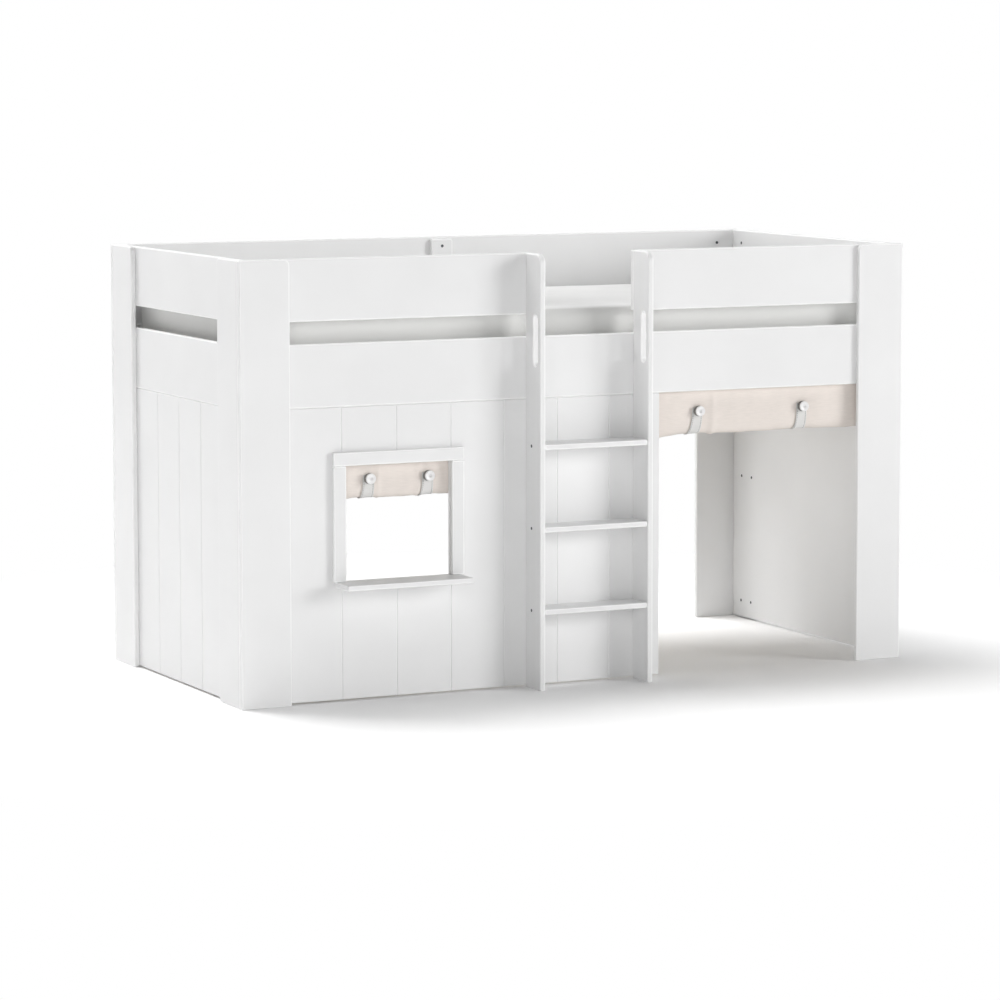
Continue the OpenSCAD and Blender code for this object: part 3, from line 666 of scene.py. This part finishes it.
def swell_cloth(piece, limit, frames=18):
    """Lets a closed cover swell like a filled one, and stops each point at a limit."""
    remesh = piece.modifiers.new("even", "REMESH")
    remesh.mode = "VOXEL"
    remesh.voxel_size = 15 * MM
    apply_modifiers(piece)
    start = [v.co.copy() for v in piece.data.vertices]
    cloth = piece.modifiers.new("swell", "CLOTH")
    cover = cloth.settings
    cover.quality = 4
    cover.mass = 0.4
    cover.tension_stiffness = 25
    cover.compression_stiffness = 25
    cover.bending_stiffness = 3
    cover.use_pressure = True
    cover.uniform_pressure_force = 4
    cover.effector_weights.gravity = 0
    cloth.point_cache.frame_start = 1
    cloth.point_cache.frame_end = frames
    scene = bpy.context.scene
    for number in range(1, frames + 1):
        scene.frame_set(number)
    apply_modifiers(piece)
    scene.frame_set(1)
    for vertex, home in zip(piece.data.vertices, start):
        step = vertex.co - home
        if step.length > limit:
            vertex.co = home + step * (limit / step.length)


def plan_loop(low, high, corner, inset, count=10):
    """Points round a rounded rectangle in plan, a given distance in from its edge."""
    points = []
    turn = max(corner - inset, 4 * MM)
    for quarter, (sx, sy) in enumerate(((1, 1), (-1, 1), (-1, -1), (1, -1))):
        cx = (high.x if sx > 0 else low.x) - sx * (inset + turn)
        cy = (high.y if sy > 0 else low.y) - sy * (inset + turn)
        for step in range(count + 1):
            angle = math.radians(90 * (quarter + step / count))
            points.append(Vector((cx + turn * math.cos(angle), cy + turn * math.sin(angle))))
    return points


def piping(points, height, radius, sides=8):
    """A round piped seam that follows a closed loop of points."""
    bm = bmesh.new()
    rings = []
    for i, point in enumerate(points):
        along = (points[(i + 1) % len(points)] - points[i - 1]).normalized()
        out = Vector((along.y, -along.x, 0.0))
        centre = Vector((point.x, point.y, height))
        rings.append([
            bm.verts.new(centre + out * (radius * math.cos(a)) + Vector((0, 0, radius * math.sin(a))))
            for a in (math.tau * k / sides for k in range(sides))
        ])
    for i, ring in enumerate(rings):
        after = rings[(i + 1) % len(rings)]
        for k in range(sides):
            bm.faces.new((ring[k], ring[(k + 1) % sides], after[(k + 1) % sides], after[k]))
    bmesh.ops.recalc_face_normals(bm, faces=bm.faces)
    return bm


class BED_OT_mattress(bpy.types.Operator):
    """Foam mattress in a knitted cover with a piped seam"""

    bl_idname = "bed.mattress"
    bl_label = "Mattress"

    def execute(self, context):
        look = settings("bed_mattress")
        low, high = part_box("mattress")
        # The cover is cut smaller by what it may swell, but barely so where it lies on the slats
        cut_low = low + Vector((look.swell, look.swell, 1 * MM))
        cut_high = high - Vector([look.swell] * 3)
        bm = mattress_block(cut_low, cut_high, look.corner_radius, look.edge_radius)
        piece = finish_piece("mattress_cover", bm, knitted_cover(), "mattress",
                             body="mattress", sharp=80)
        swell_cloth(piece, look.swell)
        for vertex in piece.data.vertices:
            vertex.co.z = max(vertex.co.z, low.z + 0.2 * MM)
        for polygon in piece.data.polygons:
            polygon.use_smooth = True
        soften = piece.modifiers.new("soften", "SUBSURF")
        soften.levels = soften.render_levels = 1
        # The seam is sewn a little into the cover
        path = plan_loop(low, high, look.corner_radius, 0.4 * look.seam_radius)
        bm = piping(path, low.z + look.seam_height, look.seam_radius)
        finish_piece("mattress_seam", bm, knitted_cover(), "mattress",
                     body="mattress", sharp=80)
        return {"FINISHED"}


# Curtains


class RolledCurtain:
    """The surface of a rolled curtain, from its head down the front and round into the roll.

    Its droop is how far it hangs down at its left end, and over what width. An upright fold has the
    number of a strap, its distance from it, a depth and a width. Slants are the straps' ways to the left.
    """

    sag = 3 * MM  # How far the roll hangs between its straps
    droop_power = 1.6  # The droop sets in slowly and is steepest at the end
    soft_folds = ((0.8, 11, 2.2, 0), (0.28, 34, 9, 7))  # Share, cells a metre across and along, seed
    outer_turn = 2.2  # Cloth in the roll's outer turn, in heights of the roll
    inner_share = 0.35  # Share of the folds that the hidden turns keep
    pinch_reach, pinch_depth = 26 * MM, 1.6 * MM
    pinch_hold = 0.7  # Share of the soft folds that a strap presses flat
    crease_angles = (152, 197, 38, -12)
    crease_length, crease_depth = 62 * MM, 1.5 * MM
    crease_width, crease_spread = 4 * MM, 0.16
    section_power = 2 / 2.6  # The roll's section lies between an ellipse, at 1, and a box, at 0
    section_length = 0.86  # Its length, as a share of the box's round it
    fade_height = 30 * MM  # The folds set in over this height under the board
    strap_above = 9 * MM  # How far a strap starts above its button's middle
    strap_stand_off, strap_lean, strap_lean_length = 1.6 * MM, 2.2 * MM, 90 * MM

    def __init__(self, node, board, height, cloth_length, droop, folds, slants, seed):
        look = self.look = settings("bed_curtains")
        self.cloth_length, self.slants, self.seed = cloth_length, slants, seed
        self.droop, self.droop_width = droop
        low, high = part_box(node)
        self.left, self.right = low.x + 0.5 * MM, high.x - 0.5 * MM
        self.front = low.y + look.thickness / 2
        self.head = high.z - 1 * MM
        # The roll starts just under the lower edge of the board that hides its head
        self.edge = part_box(board)[0].z
        self.top, self.bottom = self.edge - 4 * MM, self.edge - height
        self.depth = high.y - low.y - look.thickness
        button_low, button_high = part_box(node + "_buttons")
        self.button_z = (button_low.z + button_high.z) / 2
        radius = (button_high.z - button_low.z) / 2
        self.straps = [button_low.x + radius, button_high.x - radius]
        self.folds = [(self.straps[i] + away, depth, width) for i, away, depth, width in folds]
        strap_top = self.button_z + self.strap_above
        self.strap_start, self.strap_fall = self.head - strap_top, strap_top - self.bottom

    def drop(self, x):
        """How far the roll's bottom lies at x below its highest place."""
        share = max(0.0, 1 - (x - self.left) / self.droop_width)
        first, second = self.straps
        wave = (1 - math.cos(math.tau * (x - first) / (second - first))) / 2
        return self.droop * share ** self.droop_power + self.sag * wave

    def pinch(self, x):
        """1 under a strap, falling to 0 a few centimetres away."""
        return max(math.exp(-((x - s) / self.pinch_reach) ** 2) for s in self.straps)

    def fold_height(self, x):
        """Height of the upright folds at x."""
        return sum(depth * math.exp(-((x - at) / width) ** 2) for at, depth, width in self.folds)

    def creases(self, x, z):
        """Share of the creases that run out from each button, where its strap pulls the cloth."""
        total = 0.0
        for strap in self.straps:
            for degrees in self.crease_angles:
                way = math.radians(degrees)
                along = (x - strap) * math.cos(way) + (z - self.button_z) * math.sin(way)
                across = (z - self.button_z) * math.cos(way) - (x - strap) * math.sin(way)
                if along > 0:
                    width = self.crease_width + self.crease_spread * along
                    total += math.exp(-(across / width) ** 2 - (along / self.crease_length) ** 2)
        return total

    def base(self, x, length):
        """A point on the smooth roll, and its outward direction, at a length along the cloth."""
        bottom = self.bottom - self.drop(x)
        middle_z, half_z = (self.top + bottom) / 2, (self.top - bottom) / 2
        half_y = self.depth / 2
        flat = self.head - middle_z
        if length <= flat:
            return Vector((x, self.front, self.head - length)), Vector((0, -1, 0))
        around = length - flat
        turn_length = 4 * (half_y + half_z) * self.section_length
        angle = -math.tau * around / turn_length
        # Each turn lies a layer further in, so the turns grow shorter
        for _ in range(2):
            layers = max(0.0, -angle / math.tau - 0.05)
            shrink = min(self.look.layer * layers, half_y * 0.8)
            size = (half_y - shrink + half_z - shrink) / (half_y + half_z)
            angle = -math.tau * around / (turn_length * (1 + size) / 2)
        cos, sin = math.cos(angle), math.sin(angle)
        y = -(half_y - shrink) * math.copysign(abs(cos) ** self.section_power, cos)
        z = (half_z - shrink) * math.copysign(abs(sin) ** self.section_power, sin)
        out = Vector((0, -cos / half_y, sin / half_z)).normalized()
        return Vector((x, self.front + half_y + y, middle_z + z)), out

    def point(self, x, length):
        """A point on the cloth with its soft folds, which fade out towards the head."""
        place, out = self.base(x, length)
        free = min(1.0, max(0.0, (self.edge - place.z) / self.fade_height))
        outer = length < self.head - self.edge + self.outer_turn * (self.edge - self.bottom)
        soft = sum(share * noise.noise(Vector((x * across, length * along, self.seed + seed)))
                   for share, across, along, seed in self.soft_folds)
        pulled = self.pinch(x)
        move = self.look.hang * soft * (1 - self.pinch_hold * pulled)
        move -= self.pinch_depth * pulled
        if outer:
            move += self.fold_height(x)
            if out.y < -0.3:
                move -= self.crease_depth * self.creases(x, place.z)
        return place + out * (move * free * (1.0 if outer else self.inner_share)), out

    def cloth_point(self, length, across):
        """A point on the cloth, at a distance across from its left edge."""
        return self.point(self.left + across, length)[0]

    def strap_point(self, strap, length, across):
        """A point on a strap, which grows a little wider as it falls in front of the roll."""
        fallen = min(length - self.strap_start, self.strap_fall)
        share = fallen / self.strap_fall
        x = self.straps[strap] - self.slants[strap] * fallen + across * (0.86 + 0.2 * share)
        place, out = self.point(x, length)
        # The left edge stands off the roll a little half way down
        lean = 0.5 - across / self.look.strap_width
        bow = math.sin(math.pi * min(1, fallen / self.strap_lean_length))
        return place + out * (self.strap_stand_off + self.strap_lean * lean * bow)


def den_roll():
    """The doorway curtain's roll, with one upright fold to the right of its left strap."""
    return RolledCurtain(
        "den_curtain", "front_rail", height=126 * MM, cloth_length=0.83, droop=(15 * MM, 110 * MM),
        folds=[(0, 49 * MM, 4.2 * MM, 11 * MM)], slants=(0.14, 0.04), seed=3.0)


def window_roll():
    """The window curtain's roll, with an upright fold inside each strap."""
    return RolledCurtain(
        "window_curtain", "window_header", height=94 * MM, cloth_length=0.4, droop=(4 * MM, 60 * MM),
        folds=[(0, 29 * MM, 2.6 * MM, 7 * MM), (1, -29 * MM, 2.6 * MM, 7 * MM)], slants=(0.06, 0.04),
        seed=11.0)


ROLLS = {"den_curtain": den_roll, "window_curtain": window_roll}


class BED_OT_curtains(bpy.types.Operator):
    """Doorway and window curtains, rolled up from the bottom"""

    bl_idname = "bed.curtains"
    bl_label = "Rolled Curtains"

    def execute(self, context):
        for node, make_roll in ROLLS.items():
            roll = make_roll()
            width = roll.right - roll.left
            rows, columns = round(roll.cloth_length / (4 * MM)), round(width / (5 * MM))
            lengths = [roll.cloth_length * i / (rows - 1) for i in range(rows)]
            widths = [width * j / (columns - 1) for j in range(columns)]
            bm = cloth_sheet(lengths, widths, roll.cloth_point)
            piece = finish_piece(node + "_cloth", bm, unbleached_cotton(), node, sharp=180)
            add_thickness(piece, settings("bed_curtains").thickness)
        return {"FINISHED"}


class BED_OT_curtain_tapes(bpy.types.Operator):
    """Hook-and-loop tapes that hold the curtains' heads"""

    bl_idname = "bed.curtain_tapes"
    bl_label = "Curtain Tapes"

    def execute(self, context):
        for curtain in ROLLS:
            node = curtain + "_tape"
            tape_bands(node + "_band", [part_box(node)], 0.5 * MM, (0, 2), node)
        return {"FINISHED"}


class BED_OT_curtain_straps(bpy.types.Operator):
    """Cotton straps that run from the buttons under the rolls and up behind them"""

    bl_idname = "bed.curtain_straps"
    bl_label = "Curtain Straps"

    def execute(self, context):
        width = settings("bed_curtains").strap_width
        rows, columns = 60, 11
        widths = [width * (j / (columns - 1) - 0.5) for j in range(columns)]
        for node, make_roll in ROLLS.items():
            roll = make_roll()
            # Down the front, under the roll and up behind it
            start, end = roll.strap_start, roll.strap_start + 2.02 * roll.strap_fall + roll.depth
            lengths = [start + (end - start) * i / (rows - 1) for i in range(rows)]
            for strap in range(len(roll.straps)):
                bm = cloth_sheet(lengths, widths, functools.partial(roll.strap_point, strap))
                bmesh.ops.recalc_face_normals(bm, faces=bm.faces)
                piece = finish_piece(f"{node}_strap_{strap + 1}", bm, strap_cotton(),
                                     node + "_straps", sharp=180)
                add_thickness(piece, 1.4 * MM)
        return {"FINISHED"}


class BED_OT_curtain_buttons(bpy.types.Operator):
    """Turned buttons with a neck, a raised rim and a dimple, and the elastic loop behind each"""

    bl_idname = "bed.curtain_buttons"
    bl_label = "Curtain Buttons"

    def add_loop(self, name, place, radius, node):
        """An elastic cord that lies doubled round the button's neck, dark enough to paint the shade beside
        the button.
        """
        cord = 2.1 * MM
        angles = [math.tau * (k % 10) / 10 for k in range(11)]
        bm = turned([[(ring + cord * math.cos(a), out + cord * math.sin(a)) for a in angles]
                     for ring, out in ((radius * 0.98, 2.4 * MM), (radius * 0.84, 6.0 * MM))], 40)
        bmesh.ops.transform(bm, matrix=Matrix.Diagonal((1.0, 0.9, 1.0, 1.0)), verts=bm.verts)
        face_front(bm, place)

        def unrolled(vertex):
            away = vertex.co - place
            return math.atan2(away.z, away.x) * radius, away.y

        add_uv(bm, unrolled)
        finish_piece(name, bm, grey_elastic_and_shade(), node + "_straps", sharp=180)

    def execute(self, context):
        for node, make_roll in ROLLS.items():
            low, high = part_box(node + "_buttons")
            radius = (high.z - low.z) / 2
            out = high.y - low.y
            disc = 6 * MM
            # Shares of the radius and depths below the rim, from the foot to the dimple
            steps = [(0, out), (0.45, out), (0.45, disc), (0.86, disc), (0.97, disc * 0.72),
                     (1, disc * 0.45), (0.96, disc * 0.12), (0.86, 0), (0.74, 0.5 * MM), (0.62, 1.1 * MM),
                     (0.34, 1.2 * MM), (0.29, 2.0 * MM), (0.26, 6.0 * MM), (0, 6.2 * MM)]
            profile = [(radius * share, out - depth) for share, depth in steps]
            for number, x in enumerate(make_roll().straps):
                place = Vector((x, high.y, (low.z + high.z) / 2))
                bm = turned([profile], 40)
                face_front(bm, place)
                finish_piece(f"{node}_button_{number + 1}", bm, turned_white_plastic(),
                             node + "_buttons", sharp=50)
                self.add_loop(f"{node}_loop_{number + 1}", place, radius, node)
        return {"FINISHED"}


class BED_OT_fasteners(bpy.types.Operator):
    """Finishes of the screws and dowels"""

    bl_idname = "bed.fasteners"
    bl_label = "Fasteners"

    def execute(self, context):
        for names, material in ((SCREWS, zinc_plated_steel()), (DOWELS, turned_beech())):
            for name in names:
                mesh = NODES[name].data
                mesh.materials.clear()
                mesh.materials.append(material)
        return {"FINISHED"}


# Stage


def add_lamp(name, power, heading, height, size, distance=12.0):
    """A soft square lamp: watts, degrees round from the front to the right, degrees up, and metres."""
    target = Vector((0.0, 0.0, 0.6))
    turn, rise = math.radians(heading), math.radians(height)
    way = Vector((math.sin(turn) * math.cos(rise), -math.cos(turn) * math.cos(rise), math.sin(rise)))
    data = bpy.data.lights.new(name, "AREA")
    data.shape = "SQUARE"
    data.size = size
    data.energy = power
    lamp = add_object(name, data)
    lamp.location = target + way * distance
    lamp.rotation_euler = (-way).to_track_quat("-Z", "Y").to_euler()
    return lamp


def build_world(strength):
    """Even light from all round, and plain white where the camera looks past the floor."""
    world = bpy.data.worlds.new("studio")
    bpy.context.scene.world = world
    world.use_nodes = True
    tree = world.node_tree
    tree.nodes.clear()
    path = add_node(tree, "LightPath")
    even = add_node(tree, "Background", {"Color": WHITE, "Strength": strength})
    white = add_node(tree, "Background", {"Color": WHITE, "Strength": 1.0})
    seen = add_node(tree, "Math", operation="MAXIMUM", inputs={
        0: path.outputs["Is Camera Ray"], 1: path.outputs["Is Transmission Ray"]})
    shown = add_node(tree, "Math", {0: seen, 1: path.outputs["Is Glossy Ray"]}, operation="MAXIMUM")
    mix = add_node(tree, "MixShader", {0: shown, 1: even, 2: white})
    add_node(tree, "OutputWorld", {"Surface": mix})


def build_floor():
    """White paper under the bed."""
    bm = bmesh.new()
    bmesh.ops.create_grid(bm, x_segments=1, y_segments=1, size=30.0)
    floor = add_mesh("floor", bm, white_paper())
    return floor


def build_camera(look):
    """The camera, from the place where the photo was taken."""
    data = bpy.data.cameras.new("camera")
    data.sensor_width = 36.0
    data.lens = look.camera_lens
    data.clip_end = 200.0
    data.shift_x, data.shift_y = look.camera_shift
    camera = add_object("camera", data)
    camera.location = look.camera_place
    heading, pitch = look.camera_heading, look.camera_pitch
    forward = Vector((math.sin(heading) * math.cos(pitch), math.cos(heading) * math.cos(pitch),
                      -math.sin(pitch)))
    camera.rotation_euler = forward.to_track_quat("-Z", "Y").to_euler()
    bpy.context.scene.camera = camera


class BED_OT_stage(bpy.types.Operator):
    """White floor, soft lamps and the camera"""

    bl_idname = "bed.stage"
    bl_label = "Stage"

    def execute(self, context):
        look = settings("bed_stage")
        floor = build_floor()
        build_world(look.sky)
        add_lamp("key_lamp", look.key_power, heading=48, height=13, size=9.5, distance=24)
        add_lamp("front_lamp", look.front_power, heading=-29, height=11, size=16, distance=24)
        add_lamp("back_lamp", look.back_power, heading=-150, height=62, size=7)
        add_lamp("low_back_lamp", look.low_back_power, heading=-148, height=16, size=9, distance=18)
        # Lights only the paper, so that the bed's shadow stays short and the bed isn't overlit
        floor_lamp = add_lamp("floor_lamp", look.floor_power, heading=180, height=74, size=10)
        lit = bpy.data.collections.new("lit_by_floor_lamp")
        lit.objects.link(floor)
        floor_lamp.light_linking.receiver_collection = lit
        build_camera(look)
        context.scene.view_settings.view_transform = "Standard"
        return {"FINISHED"}


# Panel and registration


class BED_PT_sidebar(bpy.types.Panel):
    """Lists the bed's settings and builders"""

    bl_idname = "BED_PT_sidebar"
    bl_label = "Cabin Bed"
    bl_space_type = "VIEW_3D"
    bl_region_type = "UI"
    bl_category = "Cabin Bed"

    def draw(self, context):
        for group in GROUPS:
            box = self.layout.box()
            values = getattr(context.scene, group)
            for name in values.__annotations__:
                box.prop(values, name)
        for operator in OPERATORS:
            self.layout.operator(operator.bl_idname)


OPERATORS = [
    BED_OT_frame_boards, BED_OT_panels, BED_OT_ladder, BED_OT_window_frame, BED_OT_slatted_base,
    BED_OT_mattress, BED_OT_curtains, BED_OT_curtain_tapes, BED_OT_curtain_straps,
    BED_OT_curtain_buttons, BED_OT_fasteners, BED_OT_stage,
]
GROUPS = {
    "bed_boards": BoardSettings,
    "bed_mattress": MattressSettings,
    "bed_curtains": CurtainSettings,
    "bed_stage": StageSettings,
}


def register():
    """Registers the classes and adds the settings to the scene."""
    for cls in [*GROUPS.values(), *OPERATORS, BED_PT_sidebar]:
        bpy.utils.register_class(cls)
    for name, group in GROUPS.items():
        setattr(bpy.types.Scene, name, bpy.props.PointerProperty(type=group))


def unregister():
    """Removes the settings and the classes."""
    for name in GROUPS:
        delattr(bpy.types.Scene, name)
    for cls in reversed([*GROUPS.values(), *OPERATORS, BED_PT_sidebar]):
        bpy.utils.unregister_class(cls)


def main():
    """Builds the whole scene."""
    register()
    for operator in OPERATORS:
        group, name = operator.bl_idname.split(".")
        getattr(getattr(bpy.ops, group), name)()


if __name__ == "__main__":
    main()
